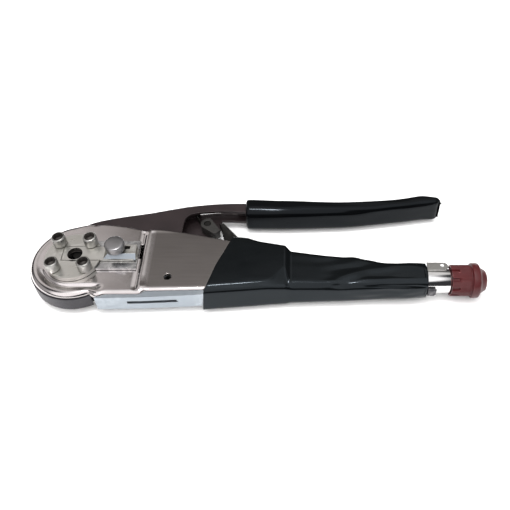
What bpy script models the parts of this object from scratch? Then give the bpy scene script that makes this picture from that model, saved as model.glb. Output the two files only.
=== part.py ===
"""Four-indent crimping tool, built piece by piece.

The script works in the tool's own frame, in millimetres: the crimp axis is the
origin, +X runs along the tool to the handle ends, +Y points to the moving
handle and +Z is the normal of the head cover's face, which is z = 0. An empty
carries that frame, so that the finished tool lies on its back on z = 0 with its
centre over the world's origin.
"""
import math

import bmesh
import bpy
from mathutils import Matrix, Vector

MM = 0.001
GAP = 0.3                    # between neighbours that touch
SHARP_ANGLE = 32.0           # degrees; flatter edges are shaded smooth

# Where the bottom centre of the whole tool lies in the tool frame
CENTRE_X = 100.9
CENTRE_Y = 11.05
FLOOR_Z = -16.25

# Layers through the thickness
COVER_T = 1.2                # pressed cover sheet
MID_TOP = -1.5               # front of everything between the covers
MID_BOTTOM = -11.8           # back of everything between the covers
INNER_TOP = -3.3             # inside the channel's and the lever's walls
INNER_BOTTOM = -10.0
REAR_TOP = -12.1
REAR_BOTTOM = -13.3
GRIP_FRONT = 1.2
GRIP_BACK = -14.5

# Head
HEAD_X = 0.7                 # centre of the head's round outline
HEAD_Y = 0.5
HEAD_R = 26.1
RIM_DEPTH = 3.0              # how far the front cover's rim is drawn down
RIM_ROUND = 2.5
RING_R = 26.4
RING_NECK_R = 21.5           # the cam ring's narrow side, inside the body
BORE_R = 4.4                 # way in for the wire, from the back
WELL_X = 0.6                 # way in for the contact, from the front
WELL_Y = 1.0
WELL_R = 5.0
HOUSING_R = 15.2
SCREW_PITCH = 9.0            # half the square the four locator screws stand on
SCREW_HEAD_R = 3.9
SCREW_HEAD_H = 6.0
SCREW_SHANK_R = 2.0
HEX_R = 2.7
PLATE_R = 16.0
PLATE_TOP = 3.0
BLOCK_TOP = 5.2              # of the slide's raised block, under the button
BUTTON_X = 24.6
BUTTON_Y = 2.6
DOWEL_X = 54.8
DOWEL_Y = -12.3

# Cam and indenters
CAM_START_R = 17.2           # cam radius over an indenter with the handles open
CAM_RATE = 6.5               # indenter travel in mm per radian of handle
CAM_LOW_R = 15.8
CAM_HIGH_R = 18.9
INDENTER_HALF = 2.5
INDENTER_TIP_R = 1.75
INDENTER_HEAD_R = 16.85

# Ratchet
PAWL_X = 72.8
PAWL_Y = 30.2
PAWL_R = 4.0
RACK_R = 85.4                # tooth tips, about the crimp axis
TOOTH_DEPTH = 0.9
TOOTH_ANGLE = 1.55           # degrees

# Tail
TAIL_Y = -10.2
TAIL_Z = -6.65
TUBE_R = 7.0
KNOB_R = 8.6
FLANGE_R = 9.6
TUBE_START = 186.3
TUBE_END = 209.0
KNOB_START = 208.0
NOSE_END = 227.5


# ---------------------------------------------------------------- helpers

def clear_scene():
    for obj in list(bpy.data.objects):
        bpy.data.objects.remove(obj, do_unlink=True)


def new_collection(name):
    collection = bpy.data.collections.new(name)
    bpy.context.scene.collection.children.link(collection)
    return collection


def make_material(name, colour, roughness, metallic):
    material = bpy.data.materials.new(name)
    material.use_nodes = True
    shader = material.node_tree.nodes["Principled BSDF"]
    shader.inputs["Base Color"].default_value = (*colour, 1.0)
    shader.inputs["Roughness"].default_value = roughness
    shader.inputs["Metallic"].default_value = metallic
    return material


def make_pivot(name, x, y, z):
    """An empty on a joint's axis, at a point of the tool frame."""
    pivot = bpy.data.objects.new(name, None)
    pivot["at"] = (x, y, z)
    if name == "tool_frame":
        pivot.location = (-CENTRE_X * MM, -CENTRE_Y * MM, -FLOOR_Z * MM)
    else:
        pivot.parent = bpy.data.objects["tool_frame"]
        pivot.location = (x * MM, y * MM, z * MM)
    PARTS.objects.link(pivot)
    return pivot


def place(obj, pivot):
    """Hang an object modelled in the tool frame on a pivot empty."""
    obj.parent = pivot
    obj.location = Vector(pivot["at"]) * -MM


def add_mesh(name, bm, pivot, material=None):
    """A mesh modelled in the tool frame; without a material it is a cutter."""
    mesh = bpy.data.meshes.new(name)
    bmesh.ops.recalc_face_normals(bm, faces=bm.faces)
    bm.to_mesh(mesh)
    bm.free()
    mesh.shade_smooth()
    mesh.set_sharp_from_angle(angle=math.radians(SHARP_ANGLE))
    obj = bpy.data.objects.new(name, mesh)
    if material is None:
        CUTTERS.objects.link(obj)
        obj.hide_render = True
        obj.display_type = "WIRE"
    else:
        PARTS.objects.link(obj)
        obj.data.materials.append(material)
    place(obj, pivot)
    return obj


def arc(cx, cy, r, start, end, count):
    """Points on an arc, from start to end in degrees."""
    points = []
    for i in range(count + 1):
        a = math.radians(start + (end - start) * i / count)
        points.append((cx + r * math.cos(a), cy + r * math.sin(a)))
    return points


def wedge_block(name, low, high, z_low, z_high, pivot):
    """A block that narrows upwards; low and high are (x from, x to, y from, y to)."""
    bm = bmesh.new()
    rings = []
    for (x0, x1, y0, y1), z in ((low, z_low), (high, z_high)):
        corners = ((x0, y0), (x1, y0), (x1, y1), (x0, y1))
        rings.append([bm.verts.new((x * MM, y * MM, z * MM)) for x, y in corners])
    for i in range(4):
        k = (i + 1) % 4
        bm.faces.new((rings[0][i], rings[0][k], rings[1][k], rings[1][i]))
    bm.faces.new(list(reversed(rings[0])))
    bm.faces.new(rings[1])
    return add_mesh(name, bm, pivot)


def outline(name, points, z_low, z_high, pivot, material=None):
    """A flat outline extruded between two heights."""
    curve = bpy.data.curves.new(name, "CURVE")
    curve.dimensions = "2D"
    curve.fill_mode = "BOTH"
    curve.extrude = (z_high - z_low) / 2 * MM
    spline = curve.splines.new("POLY")
    spline.points.add(len(points) - 1)
    for point, (x, y) in zip(spline.points, points):
        point.co = (x * MM, y * MM, 0.0, 1.0)
    spline.use_cyclic_u = True
    source = bpy.data.objects.new(name + "_curve", curve)
    CUTTERS.objects.link(source)
    graph = bpy.context.evaluated_depsgraph_get()
    mesh = bpy.data.meshes.new_from_object(source.evaluated_get(graph))
    bpy.data.objects.remove(source, do_unlink=True)
    bm = bmesh.new()
    bm.from_mesh(mesh)
    bpy.data.meshes.remove(mesh)
    bmesh.ops.remove_doubles(bm, verts=bm.verts, dist=1e-6)
    bmesh.ops.translate(bm, verts=bm.verts, vec=(0, 0, (z_high + z_low) / 2 * MM))
    bmesh.ops.dissolve_limit(bm, angle_limit=0.001, verts=bm.verts, edges=bm.edges)
    return add_mesh(name, bm, pivot, material)


def box(name, low, high, pivot, material=None):
    bm = bmesh.new()
    bmesh.ops.create_cube(bm, size=1.0)
    size = [(h - l) * MM for l, h in zip(low, high)]
    centre = [(h + l) / 2 * MM for l, h in zip(low, high)]
    bmesh.ops.scale(bm, vec=size, verts=bm.verts)
    bmesh.ops.translate(bm, vec=centre, verts=bm.verts)
    return add_mesh(name, bm, pivot, material)


def rod(name, stations, centre, axis, pivot, material=None, segments=24):
    """A turned piece: (distance along the axis, radius) stations about a centre line."""
    bm = bmesh.new()
    rings = []
    turn = Vector((0, 0, 1)).rotation_difference(Vector(axis)).to_matrix()
    for along, radius in stations:
        ring = []
        for i in range(segments):
            a = 2 * math.pi * i / segments
            point = turn @ Vector((radius * math.cos(a), radius * math.sin(a), along))
            ring.append(bm.verts.new((point + Vector(centre)) * MM))
        rings.append(ring)
    for lower, upper in zip(rings, rings[1:]):
        for i in range(segments):
            k = (i + 1) % segments
            bm.faces.new((lower[i], lower[k], upper[k], upper[i]))
    bm.faces.new(list(reversed(rings[0])))
    bm.faces.new(rings[-1])
    return add_mesh(name, bm, pivot, material)


def bore(target, radius, low, high, centre, axis, pivot, segments=24):
    cutter = rod("cut_" + target.name, [(low, radius), (high, radius)], centre, axis, pivot,
                 segments=segments)
    combine(target, cutter, "DIFFERENCE")


def combine(target, other, operation):
    """Boolean on the target, applied at once so that later edges stay clean."""
    modifier = target.modifiers.new(operation.lower(), "BOOLEAN")
    modifier.operation = operation
    modifier.object = other
    modifier.solver = "EXACT"
    graph = bpy.context.evaluated_depsgraph_get()
    mesh = bpy.data.meshes.new_from_object(target.evaluated_get(graph))
    target.modifiers.remove(modifier)
    old = target.data
    materials = list(old.materials)
    bm = bmesh.new()
    bm.from_mesh(mesh)
    bpy.data.meshes.remove(mesh)
    bmesh.ops.remove_doubles(bm, verts=bm.verts, dist=2e-6)
    bmesh.ops.dissolve_limit(bm, angle_limit=0.002, verts=bm.verts, edges=bm.edges)
    bm.to_mesh(old)
    bm.free()
    old.materials.clear()
    for material in materials[:1]:
        old.materials.append(material)
    for polygon in old.polygons:
        polygon.material_index = 0
    old.shade_smooth()
    old.set_sharp_from_angle(angle=math.radians(SHARP_ANGLE))
    bpy.data.objects.remove(other, do_unlink=True)


def cut(target, other):
    combine(target, other, "DIFFERENCE")


def join(target, other):
    combine(target, other, "UNION")


def round_edges(obj, width, segments, angle=50):
    """A bevel on the sharp edges, applied at once."""
    bevel = obj.modifiers.new("rounding", "BEVEL")
    bevel.width = width * MM
    bevel.segments = segments
    bevel.limit_method = "ANGLE"
    bevel.angle_limit = math.radians(angle)
    bevel.use_clamp_overlap = True
    graph = bpy.context.evaluated_depsgraph_get()
    rounded = bpy.data.meshes.new_from_object(obj.evaluated_get(graph))
    obj.modifiers.clear()
    obj.data = rounded


# ---------------------------------------------------------------- outlines

def lever_top():
    """The moving lever's outer edge, from the head to its end in the grip."""
    return [(2.0, 27.7), (9.2, 30.7), (24.0, 34.2), (39.4, 37.0), (50.0, 39.6), (59.6, 41.7),
            (70.0, 43.2), (80.0, 44.1), (94.0, 44.3), (97.5, 43.9), (120.0, 42.6),
            (150.0, 40.9), (172.0, 41.7), (190.0, 43.6), (195.0, 44.3)]


def lever_low():
    """The lever's lower edge, from its end back to the arch and the hidden skirt."""
    return [(195.0, 41.8), (190.0, 41.0), (172.0, 38.4), (150.0, 36.2), (120.0, 35.4),
            (94.0, 37.2), (80.0, 38.0), (70.0, 37.2), (64.5, 36.2), (61.5, 34.7),
            (59.6, 31.5), (59.0, 26.0), (58.6, 16.0), (40.0, 14.5), (24.4, 14.2)]


def cover_outline(inset=0.0):
    """Front cover from above, without the rim's depth."""
    r = HEAD_R - inset
    points = arc(HEAD_X, HEAD_Y, r, 72, 303, 40)
    points += [(18.6, -22.0 + inset), (20.6, -23.6 + inset), (40.6, -23.9 + inset),
               (42.8, -21.9 + inset), (44.5, -21.4 + inset), (75.4, -20.6 + inset),
               (76.6, -19.2), (78.2, -13.0), (80.6, -5.0), (83.9, 3.0), (88.0, 13.3),
               (60.0, 20.0 - inset), (46.0, 22.0 - inset), (40.2, 22.2 - inset),
               (38.6, 21.2 - inset), (25.0, 24.6 - inset), (11.5, 26.4 - inset)]
    return points


def channel_outline():
    return [(16.0, -26.1), (41.6, -25.5), (67.7, -24.1), (80.0, -22.9), (100.0, -21.2),
            (120.0, -19.7), (150.0, -18.7), (170.0, -17.4), (186.0, -17.2),
            (186.0, -4.2), (175.0, -4.6), (165.0, -2.7), (150.0, -0.7), (124.0, 3.4),
            (120.5, 6.6), (98.0, 11.2), (86.2, 12.2), (85.6, 4.0), (83.5, -3.0),
            (77.0, -9.5), (70.0, -10.5), (21.8, -10.0), (17.6, -19.6), (16.4, -24.0)]


def lower_grip_outline():
    return [(73.8, -26.1), (100.0, -24.0), (120.0, -22.4), (150.0, -21.4), (170.0, -20.0),
            (183.0, -19.9), (195.0, -18.9), (195.0, -2.6), (190.0, -2.0), (175.0, -1.9),
            (165.0, 0.1), (156.0, 2.1), (150.0, 2.4), (123.0, 6.6), (119.5, 9.7),
            (98.0, 14.3), (95.5, 15.9), (90.0, 15.6), (88.4, 13.4), (84.3, 3.0),
            (81.0, -5.0), (78.6, -13.0), (76.4, -20.6), (73.8, -22.2)]


def upper_grip_outline():
    return [(95.4, 34.6), (97.0, 33.6), (120.0, 32.6), (150.0, 33.4), (160.0, 34.1),
            (170.0, 35.4), (180.0, 36.9), (190.0, 38.4), (200.0, 40.2), (209.6, 41.6),
            (211.0, 42.8), (210.6, 44.4), (208.4, 45.9), (199.4, 48.3), (190.0, 46.3),
            (180.0, 44.9), (170.0, 44.1), (150.0, 43.5), (120.0, 45.3), (98.0, 46.1),
            (96.0, 45.4)]


# ---------------------------------------------------------------- head

def make_front_cover(frame, chrome):
    """A pressed sheet: flat face, with its rim drawn down round the head."""
    points = cover_outline()
    bm = bmesh.new()
    verts = [bm.verts.new((x * MM, y * MM, 0.0)) for x, y in points]
    face = bm.faces.new(verts)
    if face.normal.z < 0:
        face.normal_flip()
    rim = [bm.edges.get((verts[i], verts[i + 1])) for i in range(5, 40)]
    made = bmesh.ops.extrude_edge_only(bm, edges=rim)["geom"]
    lowered = [g for g in made if isinstance(g, bmesh.types.BMVert)]
    bmesh.ops.translate(bm, verts=lowered, vec=(0, 0, -RIM_DEPTH * MM))
    bmesh.ops.recalc_face_normals(bm, faces=bm.faces)
    bmesh.ops.bevel(bm, geom=rim, offset=RIM_ROUND * MM, segments=3, profile=0.5,
                    affect="EDGES")
    for f in bm.faces:
        if abs(f.normal.z) > 0.99 and f.normal.z < 0:
            bmesh.ops.reverse_faces(bm, faces=bm.faces)
            break
    bmesh.ops.solidify(bm, geom=bm.faces[:], thickness=COVER_T * MM)
    cover = add_mesh("front_cover", bm, frame, chrome)
    bore(cover, WELL_R, -5, 3, (WELL_X, WELL_Y, 0), (0, 0, 1), frame)
    for x, y in screw_places():
        bore(cover, SCREW_SHANK_R + GAP, -5, 3, (x, y, 0), (0, 0, 1), frame, 16)
    bore(cover, 2.0, -5, 3, (DOWEL_X, DOWEL_Y, 0), (0, 0, 1), frame, 16)
    return cover


def make_rear_cover(frame, chrome):
    """The plain back plate, a little smaller than the front cover."""
    points = cover_outline(2.0)
    cover = outline("rear_cover", points, REAR_BOTTOM, REAR_TOP, frame, chrome)
    bore(cover, BORE_R, -15, -10, (0, 0, 0), (0, 0, 1), frame)
    for x, y in screw_places():
        bore(cover, 1.5 + GAP, -15, -10, (x, y, 0), (0, 0, 1), frame, 16)
    return cover


def screw_places():
    p = SCREW_PITCH
    return [(-p, p), (p, p), (-p, -p), (p, -p)]


def make_housing(frame, steel):
    """The fixed block that guides the four indenters."""
    housing = rod("indenter_housing", [(MID_BOTTOM, HOUSING_R), (MID_TOP, HOUSING_R)],
                  (0, 0, 0), (0, 0, 1), frame, steel, 48)
    half = INDENTER_HALF + GAP
    cut(housing, box("slot_x", (-17, -half, -7.6), (17, half, 0), frame))
    cut(housing, box("slot_y", (-half, -17, -7.6), (half, 17, 0), frame))
    bore(housing, BORE_R, -13, 0, (0, 0, 0), (0, 0, 1), frame)
    for x, y in screw_places():
        bore(housing, SCREW_SHANK_R + GAP, -7.4, 0, (x, y, 0), (0, 0, 1), frame, 16)
        bore(housing, 1.5 + GAP, -13, -8.6, (x, y, 0), (0, 0, 1), frame, 16)
    return housing


def make_indenters(steel):
    """Four plungers that meet on the crimp axis, each on its own slide."""
    for index in range(4):
        pivot = make_pivot("indenter_%d_slide" % (index + 1), 0, 0, 0)
        half = INDENTER_HALF
        tip = 0.4
        points = [(INDENTER_TIP_R, -tip), (INDENTER_TIP_R + (half - tip) / 0.84, -half)]
        points += arc(INDENTER_HEAD_R - half, 0, half, -90, 90, 8)
        points += [(INDENTER_TIP_R + (half - tip) / 0.84, half), (INDENTER_TIP_R, tip)]
        obj = outline("indenter_%d" % (index + 1), points, -7.2, -1.9, pivot, steel)
        obj.data.transform(Matrix.Rotation(math.radians(90 * index), 4, "Z"))


def cam_radius(turn):
    """Cam radius at an angle from an indenter, in degrees, the way the ring turns."""
    turn = turn % 90.0
    if turn > 72.0:
        turn -= 90.0
    if turn < -14.0:
        share = (turn + 18.0) / 4.0
        return CAM_LOW_R + (CAM_HIGH_R - CAM_LOW_R) * share
    return min(CAM_HIGH_R, max(CAM_LOW_R, CAM_START_R - CAM_RATE * math.radians(turn)))


def make_cam_ring(lever, black):
    """The thick ring that turns with the lever, and its tongue into the lever."""
    points = arc(HEAD_X, HEAD_Y - 0.3, RING_R, 30, 298, 54)
    points += arc(0, 0, RING_NECK_R, -58, 27, 18)
    ring = outline("cam_ring", points, MID_BOTTOM, INNER_TOP, lever, black)
    cam = []
    for i in range(120):
        angle = 3.0 * i
        r = cam_radius(angle)
        cam.append((r * math.cos(math.radians(angle)), r * math.sin(math.radians(angle))))
    cut(ring, outline("cam_profile", cam, MID_BOTTOM - 1, INNER_TOP + 1, lever))
    tongue = [(12.0, 20.0), (20.5, 13.2), (22.0, 14.8), (52.0, 17.0), (53.0, 18.0),
              (53.0, 36.0), (50.0, 36.8), (39.4, 34.6), (24.0, 31.7), (12.0, 28.8)]
    join(ring, outline("tongue", tongue, INNER_BOTTOM + GAP, INNER_TOP - GAP, lever))
    for x, y in rivet_places():
        bore(ring, 2.0 + GAP, -13, 0, (x, y, 0), (0, 0, 1), lever, 16)
    return ring


def rivet_places():
    return [(30.0, 27.0), (47.0, 28.0)]


def make_locator(frame, nickel, zinc):
    """The round locator plate and the block that the locator slides on."""
    plate = rod("locator_plate", [(GAP, PLATE_R), (PLATE_TOP, PLATE_R)],
                (0, 0, 0), (0, 0, 1), frame, nickel, 48)
    cut(plate, box("slide_seat", (-6.4, -3.4, 1.7), (18, 7.1, 4), frame))
    bore(plate, WELL_R, -1, 4, (WELL_X, WELL_Y, 0), (0, 0, 1), frame)
    for x, y in screw_places():
        bore(plate, SCREW_SHANK_R + GAP, -1, 4, (x, y, 0), (0, 0, 1), frame, 16)
    block = box("locator_base", (8.0, -8.2, GAP), (36.8, 12.0, 1.7), frame, zinc)
    bore(block, PLATE_R + GAP, -1, 4, (0, 0, 0), (0, 0, 1), frame, 48)
    cut(block, box("stem_slot", (20.2, -1.4, -1), (34.4, 6.6, 3), frame))
    round_edges(block, 0.5, 1, 60)


def make_screws(frame, steel):
    """Socket-head cap screws in front, low button screws behind."""
    for index, (x, y) in enumerate(screw_places()):
        top = PLATE_TOP + GAP + SCREW_HEAD_H
        low = PLATE_TOP + GAP
        stations = [(-7.0, SCREW_SHANK_R), (low, SCREW_SHANK_R), (low, SCREW_HEAD_R),
                    (top - 0.6, SCREW_HEAD_R), (top, SCREW_HEAD_R - 0.6)]
        screw = rod("locator_screw_%d" % (index + 1), stations, (x, y, 0), (0, 0, 1),
                    frame, steel)
        bore(screw, HEX_R, top - 3.2, top + 2, (x, y, 0), (0, 0, 1), frame, 6)
    for index, (x, y) in enumerate(screw_places()):
        top = REAR_BOTTOM - GAP
        stations = [(top - 1.4, 1.6), (top - 1.0, 2.6), (top, 2.9), (top, 1.5), (-9.0, 1.5)]
        rod("rear_screw_%d" % (index + 1), stations, (x, y, 0), (0, 0, 1), frame, steel, 16)


def make_cover_dowel(frame, steel):
    rod("cover_dowel", [(MID_BOTTOM, 1.6), (-1.0, 1.6)], (DOWEL_X, DOWEL_Y, 0), (0, 0, 1),
        frame, steel, 16)


def make_locator_slide(nickel, zinc):
    """The sliding contact locator with its thumb button."""
    slide = make_pivot("locator_slide_pivot", BUTTON_X, 2.25, PLATE_TOP)
    points = [(-6.0, -3.0), (34.6, -3.0), (36.4, -1.4), (36.4, 5.2), (34.6, 6.7), (-6.0, 6.7)]
    bar = outline("locator_slide", points, 2.0, PLATE_TOP, slide, nickel)
    join(bar, wedge_block("raised_block", (17.2, 36.0, -2.9, 6.6), (20.4, 36.0, -0.2, 6.2),
                          2.5, BLOCK_TOP, slide))
    bore(bar, 4.3, 1, 4, (WELL_X + 0.2, WELL_Y + 0.6, 0), (0, 0, 1), slide)
    bore(bar, 3.3, 1, 7, (BUTTON_X, BUTTON_Y, 0), (0, 0, 1), slide)
    cut(bar, box("button_slot", (27.0, 2.9, 1), (32.4, 5.4, 7), slide))
    button = make_pivot("locator_button_pivot", BUTTON_X, BUTTON_Y, PLATE_TOP)
    under = BLOCK_TOP + 1.2
    stations = [(1.4, 2.9), (under, 2.9), (under, 5.6), (under + 4.0, 5.6), (under + 4.8, 4.8)]
    rod("locator_button", stations, (BUTTON_X, BUTTON_Y, 0), (0, 0, 1), button, zinc, 32)


# ---------------------------------------------------------------- body

def make_channel(frame, zinc):
    """The folded channel that is the fixed handle's backbone."""
    channel = outline("frame_channel", channel_outline(), MID_BOTTOM, MID_TOP, frame, zinc)
    hollow = [(10.0, -24.3), (41.6, -23.7), (67.7, -22.3), (80.0, -21.1), (100.0, -19.4),
              (120.0, -17.9), (150.0, -16.9), (170.0, -15.6), (190.0, -15.4), (190.0, -6.0),
              (190.0, 20.0), (10.0, 20.0)]
    cut(channel, outline("hollow", hollow, INNER_BOTTOM, INNER_TOP, frame))
    cut(channel, box("side_slot", (33.2, -30.0, -7.1), (60.8, -20.0, -6.1), frame))
    bore(channel, 1.6 + GAP, -13, 0, (DOWEL_X, DOWEL_Y, 0), (0, 0, 1), frame, 16)
    for x, y in plate_rivet_places():
        bore(channel, 2.0 + GAP, -13, 0, (x, y, 0), (0, 0, 1), frame, 16)
    return channel


def plate_rivet_places():
    return [(93.0, 4.0), (90.0, -9.0)]


def make_ratchet_plate(frame, black):
    """The fixed toothed plate: its toothed edge is an arc about the crimp axis."""
    points = []
    angle = 21.0
    while angle > 6.0:
        a = math.radians(angle)
        b = math.radians(angle - TOOTH_ANGLE)
        points.append((RACK_R * math.cos(a), RACK_R * math.sin(a)))
        root = RACK_R + TOOTH_DEPTH
        points.append((root * math.cos(b), root * math.sin(b)))
        angle -= TOOTH_ANGLE
    points += [(86.6, 4.0), (85.0, -3.0), (84.0, -13.0), (96.0, -14.0), (98.0, -6.0),
               (97.8, 6.0), (95.6, 13.0), (92.8, 18.4), (82.4, 31.0)]
    plate = outline("ratchet_plate", points, -8.9, -4.6, frame, black)
    for x, y in plate_rivet_places():
        bore(plate, 2.0 + GAP, -13, 0, (x, y, 0), (0, 0, 1), frame, 16)
    for index, (x, y) in enumerate(plate_rivet_places()):
        rod("plate_rivet_%d" % (index + 1), [(MID_BOTTOM + 0.2, 2.0), (MID_TOP - 0.2, 2.0)],
            (x, y, 0), (0, 0, 1), frame, black, 16)
    return plate


def make_lower_grip(frame, vinyl):
    """The moulded sleeve over the channel, open at its front, top slot and tail."""
    grip = outline("lower_grip", lower_grip_outline(), GRIP_BACK, GRIP_FRONT, frame, vinyl)
    round_edges(grip, 3.2, 3, 50)
    inner = [(60.0, -25.3), (67.7, -24.4), (80.0, -23.2), (100.0, -21.5), (120.0, -20.0),
             (150.0, -19.0), (170.0, -17.7), (186.3, -17.5), (186.3, -3.9), (175.0, -4.3),
             (165.0, -2.4), (150.0, -0.4), (124.2, 3.7), (120.6, 6.9), (98.0, 11.6),
             (86.0, 12.6), (60.0, 16.0)]
    cut(grip, outline("grip_hollow", inner, MID_BOTTOM - GAP, MID_TOP + GAP, frame))
    cut(grip, box("plate_opening", (70.0, 2.0, -9.6), (97.4, 30.0, -4.0), frame))
    bore(grip, TUBE_R + GAP, 180.0, 200.0, (0, TAIL_Y, TAIL_Z), (1, 0, 0), frame, 32)
    return grip


def make_tail(frame, chrome, nickel, black):
    tube = rod("tail_tube", [(TUBE_START, TUBE_R), (TUBE_END, TUBE_R)],
               (0, TAIL_Y, TAIL_Z), (1, 0, 0), frame, chrome, 32)
    bore(tube, TUBE_R - 1.4, 180.0, 215.0, (0, TAIL_Y, TAIL_Z), (1, 0, 0), frame, 32)
    points = [(195.4, -8.8), (204.3, -8.6)]
    points += arc(204.3, -6.2, 2.4, -90, 90, 8)
    points += [(195.4, -3.7)]
    spring = outline("detent_spring", points, 0.45, 1.05, frame, nickel)
    bore(spring, 1.0, -2, 3, (203.6, -5.6, 0), (0, 0, 1), frame, 12)
    clip = [(195.3, -19.3), (198.6, -19.3), (199.8, -18.7), (199.8, -17.6), (195.3, -17.6)]
    outline("tail_clip", clip, -8.6, -3.9, frame, black)


# ---------------------------------------------------------------- moving lever

def make_lever(lever, brown):
    """A folded channel, open downwards, with an arch behind the head."""
    left = arc(HEAD_X, HEAD_Y - 0.3, RING_R + GAP, 32, 88, 14)
    body = outline("moving_lever", lever_top() + lever_low() + left, MID_BOTTOM, MID_TOP,
                   lever, brown)
    lobe = [(58.0, 17.0), (66.0, 19.0), (71.0, 20.2), (75.5, 21.4), (79.5, 22.8),
            (82.0, 24.6), (82.6, 27.4), (80.4, 30.0), (77.4, 32.6), (76.0, 36.0),
            (75.8, 39.0), (58.0, 39.0)]
    join(body, outline("pawl_lobe", lobe, MID_BOTTOM, INNER_BOTTOM, lever))
    roof = [(x, y - 1.8) for x, y in lever_top()[1:-1]]
    pocket = roof + [(193.0, 42.4), (193.0, 20.0), (140.0, 10.0), (20.0, 5.0), (9.4, 20.0)]
    cut(body, outline("lever_pocket", pocket, INNER_BOTTOM, INNER_TOP, lever))
    cut(body, box("plate_window", (67.0, 38.0, -9.4), (90.0, 48.0, -4.1), lever))
    for x, y in rivet_places():
        bore(body, 2.0 + GAP, -13, 0, (x, y, 0), (0, 0, 1), lever, 16)
    bore(body, 1.8 + GAP, -13, -9, (PAWL_X, PAWL_Y, 0), (0, 0, 1), lever, 16)
    for index, (x, y) in enumerate(rivet_places()):
        rod("lever_rivet_%d" % (index + 1), [(MID_BOTTOM + 0.1, 2.0), (MID_TOP - 0.1, 2.0)],
            (x, y, 0), (0, 0, 1), lever, brown, 16)
    return body


def make_pawl(lever, steel):
    pivot = make_pivot("pawl_pivot", PAWL_X, PAWL_Y, -6.6)
    points = arc(PAWL_X, PAWL_Y, PAWL_R, 60, 235, 14)
    points += [(77.0, 22.4), (78.2, 22.2), (80.6, 24.8), (79.6, 26.4)]
    pawl = outline("pawl", points, INNER_BOTTOM + GAP, -3.7, pivot, steel)
    bore(pawl, 1.8 + GAP, -13, 0, (PAWL_X, PAWL_Y, 0), (0, 0, 1), pivot, 16)
    rod("pawl_pin", [(MID_BOTTOM + 0.1, 1.8), (-3.9, 1.8)], (PAWL_X, PAWL_Y, 0), (0, 0, 1),
        lever, steel, 16)
    leaf = [(66.4, 40.4), (64.6, 38.9), (67.6, 33.6), (68.0, 33.8), (65.4, 38.7), (66.8, 40.0)]
    outline("pawl_spring", leaf, -8.6, -4.8, lever, steel)


def make_upper_grip(lever, vinyl):
    grip = outline("upper_grip", upper_grip_outline(), GRIP_BACK, GRIP_FRONT, lever, vinyl)
    round_edges(grip, 4.0, 3, 50)
    top = [(x, y + GAP) for x, y in lever_top() if x > 90]
    low = [(x, y - GAP) for x, y in lever_low() if x > 90]
    inner = [(90.0, top[0][1])] + top[:-1] + [(195.3, 44.6), (195.3, 41.5)] + low[1:]
    inner += [(90.0, low[-1][1])]
    cut(grip, outline("grip_hollow", inner, MID_BOTTOM - GAP, MID_TOP + GAP, lever))
    return grip


# ---------------------------------------------------------------- adjuster

def make_adjuster(red, steel, chrome):
    """The red knob on a threaded spindle, and the stop block that it moves."""
    centre = (0, TAIL_Y, TAIL_Z)
    knob = make_pivot("adjuster_pivot", 210.0, TAIL_Y, TAIL_Z)
    stations = [(KNOB_START, 8.6), (KNOB_START + 0.6, KNOB_R), (217.4, KNOB_R), (217.8, FLANGE_R - 0.5),
                (218.4, FLANGE_R), (221.4, FLANGE_R), (222.4, FLANGE_R - 1.2),
                (225.6, 5.6), (226.0, 4.9)]
    body = rod("adjuster_knob", stations, centre, (1, 0, 0), knob, red, 40)
    bore(body, TUBE_R + 0.5, 200.0, 212.0, centre, (1, 0, 0), knob, 32)
    bore(body, 3.3, 205.0, 230.0, centre, (1, 0, 0), knob, 16)
    for index in range(10):
        angle = 2 * math.pi * index / 10
        spot = (KNOB_START - 2.5, TAIL_Y + 8.6 * math.cos(angle), TAIL_Z + 8.6 * math.sin(angle))
        bore(body, 1.3, 0.0, 4.6, spot, (1, 0, 0), knob, 8)
    rod("adjuster_spindle", [(151.0, 2.4), (190.0, 2.4), (190.5, 3.0), (225.6, 3.0)], centre,
        (1, 0, 0), knob, steel, 16)
    rod("knob_cap", [(226.3, 4.4), (227.0, 4.2), (NOSE_END, 3.2)], centre, (1, 0, 0),
        knob, chrome, 24)
    stop = make_pivot("stop_block_slide", 157.0, TAIL_Y, TAIL_Z)
    block = box("stop_block", (152.0, -15.1, INNER_BOTTOM + 0.4), (162.0, -5.8, INNER_TOP - 0.4),
                stop, steel)
    bore(block, 2.4 + GAP, 140.0, 170.0, centre, (1, 0, 0), stop, 16)


def make_opening_spring(frame, steel):
    """The coil that lifts the lever's tongue off the channel floor."""
    turns = 7
    radius = 2.6
    wire = 0.45
    low = -22.6
    high = 13.6
    curve = bpy.data.curves.new("opening_spring", "CURVE")
    curve.dimensions = "3D"
    curve.bevel_depth = wire * MM
    curve.bevel_resolution = 0
    curve.use_fill_caps = True
    steps = turns * 10
    spline = curve.splines.new("POLY")
    spline.points.add(steps)
    for i in range(steps + 1):
        a = 2 * math.pi * turns * i / steps
        share = i / steps
        y = low + wire + (high - low - 2 * wire) * share
        spline.points[i].co = ((38.0 + radius * math.cos(a)) * MM, y * MM,
                               (-6.65 + radius * math.sin(a)) * MM, 1.0)
    source = bpy.data.objects.new("spring_path", curve)
    CUTTERS.objects.link(source)
    graph = bpy.context.evaluated_depsgraph_get()
    mesh = bpy.data.meshes.new_from_object(source.evaluated_get(graph))
    bpy.data.objects.remove(source, do_unlink=True)
    bm = bmesh.new()
    bm.from_mesh(mesh)
    bmesh.ops.remove_doubles(bm, verts=bm.verts, dist=1e-6)
    add_mesh("opening_spring", bm, frame, steel)


# ---------------------------------------------------------------- build

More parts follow.
